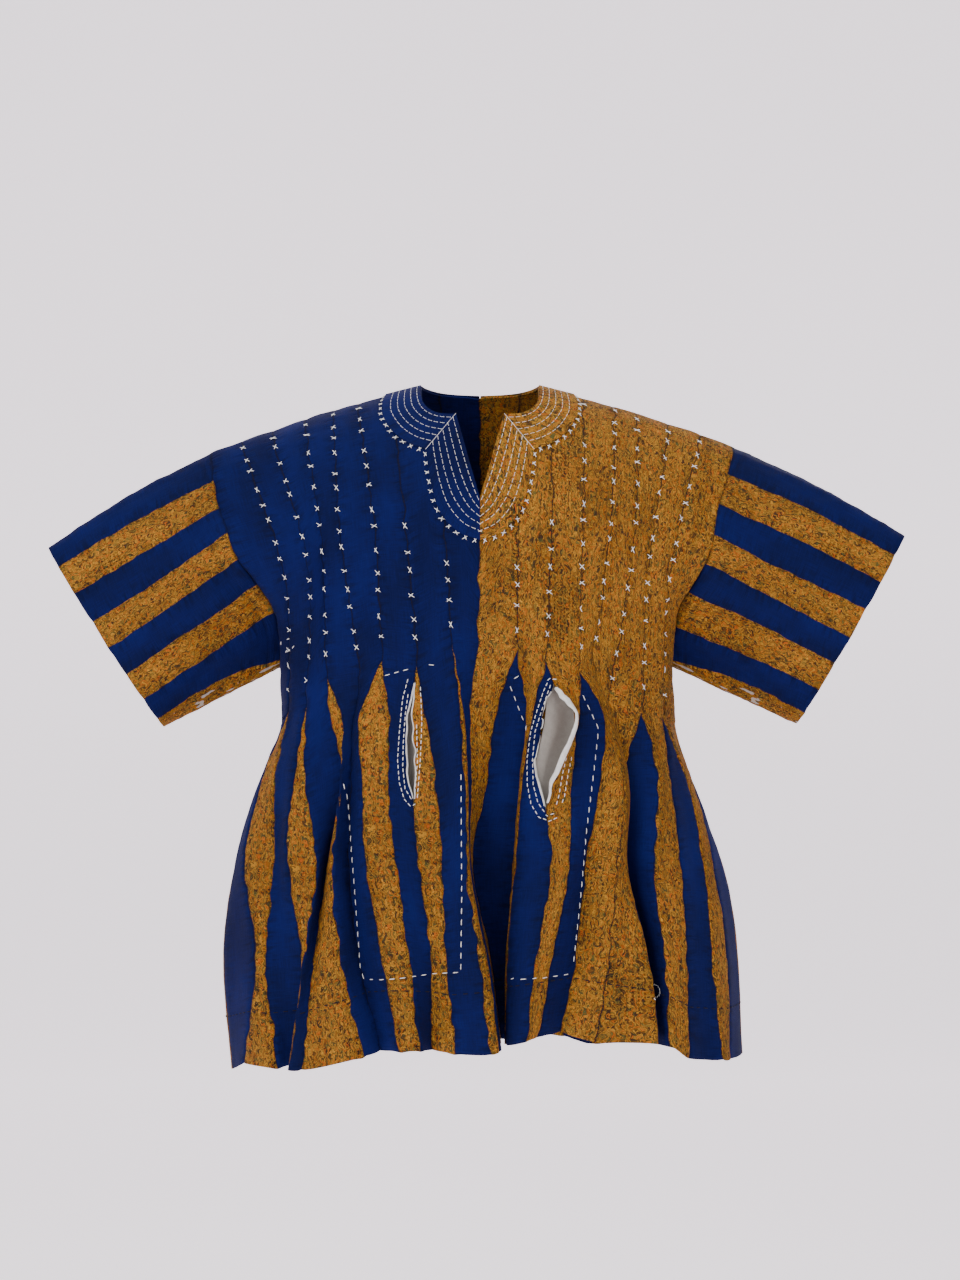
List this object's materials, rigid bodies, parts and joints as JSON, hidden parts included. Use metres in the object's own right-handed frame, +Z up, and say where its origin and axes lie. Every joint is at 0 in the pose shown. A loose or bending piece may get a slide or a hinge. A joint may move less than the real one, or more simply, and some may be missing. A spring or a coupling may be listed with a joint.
{
  "type": "fugu smock",
  "caption": "Loose strip-woven smock, half blue and half gold, with wide sleeves, a V neck band, pocket slits and a gored skirt.",
  "frame": {"origin": "between the shoulders at the foot of the neck, where the smock is held", "axes": "+Z up the wearer, +X the viewer's right (sleeve to sleeve), +Y from the front to the back"},
  "size_m": [0.9346, 0.3617, 0.746],
  "materials": {
    "blue_strip_cloth": "matt hand-woven cotton",
    "gold_strip_cloth": "matt hand-woven cotton, flecked",
    "pocket_cotton": "matt plain cotton",
    "white_thread": "matt cotton thread",
    "dark_thread": "matt cotton thread"
  },
  "bodies": {
    "root": {"back_left": "blue_strip_cloth", "back_right": "gold_strip_cloth", "collar_left": "blue_strip_cloth", "collar_right": "gold_strip_cloth", "front_left": "blue_strip_cloth", "front_right": "gold_strip_cloth", "gore_back_left_a": "gold_strip_cloth", "gore_back_left_b": "gold_strip_cloth", "gore_back_left_c": "gold_strip_cloth", "gore_back_left_e": "gold_strip_cloth", "gore_back_left_f": "gold_strip_cloth", "gore_back_left_g": "gold_strip_cloth", "gore_back_right_a": "blue_strip_cloth", "gore_back_right_b": "blue_strip_cloth", "gore_back_right_c": "blue_strip_cloth", "gore_back_right_e": "blue_strip_cloth", "gore_back_right_f": "blue_strip_cloth", "gore_back_right_g": "blue_strip_cloth", "gore_front_left_a": "gold_strip_cloth", "gore_front_left_b": "gold_strip_cloth", "gore_front_left_c": "gold_strip_cloth", "gore_front_left_e": "gold_strip_cloth", "gore_front_left_f": "gold_strip_cloth", "gore_front_left_g": "gold_strip_cloth", "gore_front_right_a": "blue_strip_cloth", "gore_front_right_b": "blue_strip_cloth", "gore_front_right_c": "blue_strip_cloth", "gore_front_right_e": "blue_strip_cloth", "gore_front_right_f": "blue_strip_cloth", "gore_front_right_g": "blue_strip_cloth", "gore_side_left": "gold_strip_cloth", "gore_side_right": "blue_strip_cloth", "pocket_bag_left": "pocket_cotton", "pocket_bag_right": "pocket_cotton", "sleeve_left": "blue_strip_cloth", "sleeve_right": "gold_strip_cloth"}
  },
  "joints": []
}
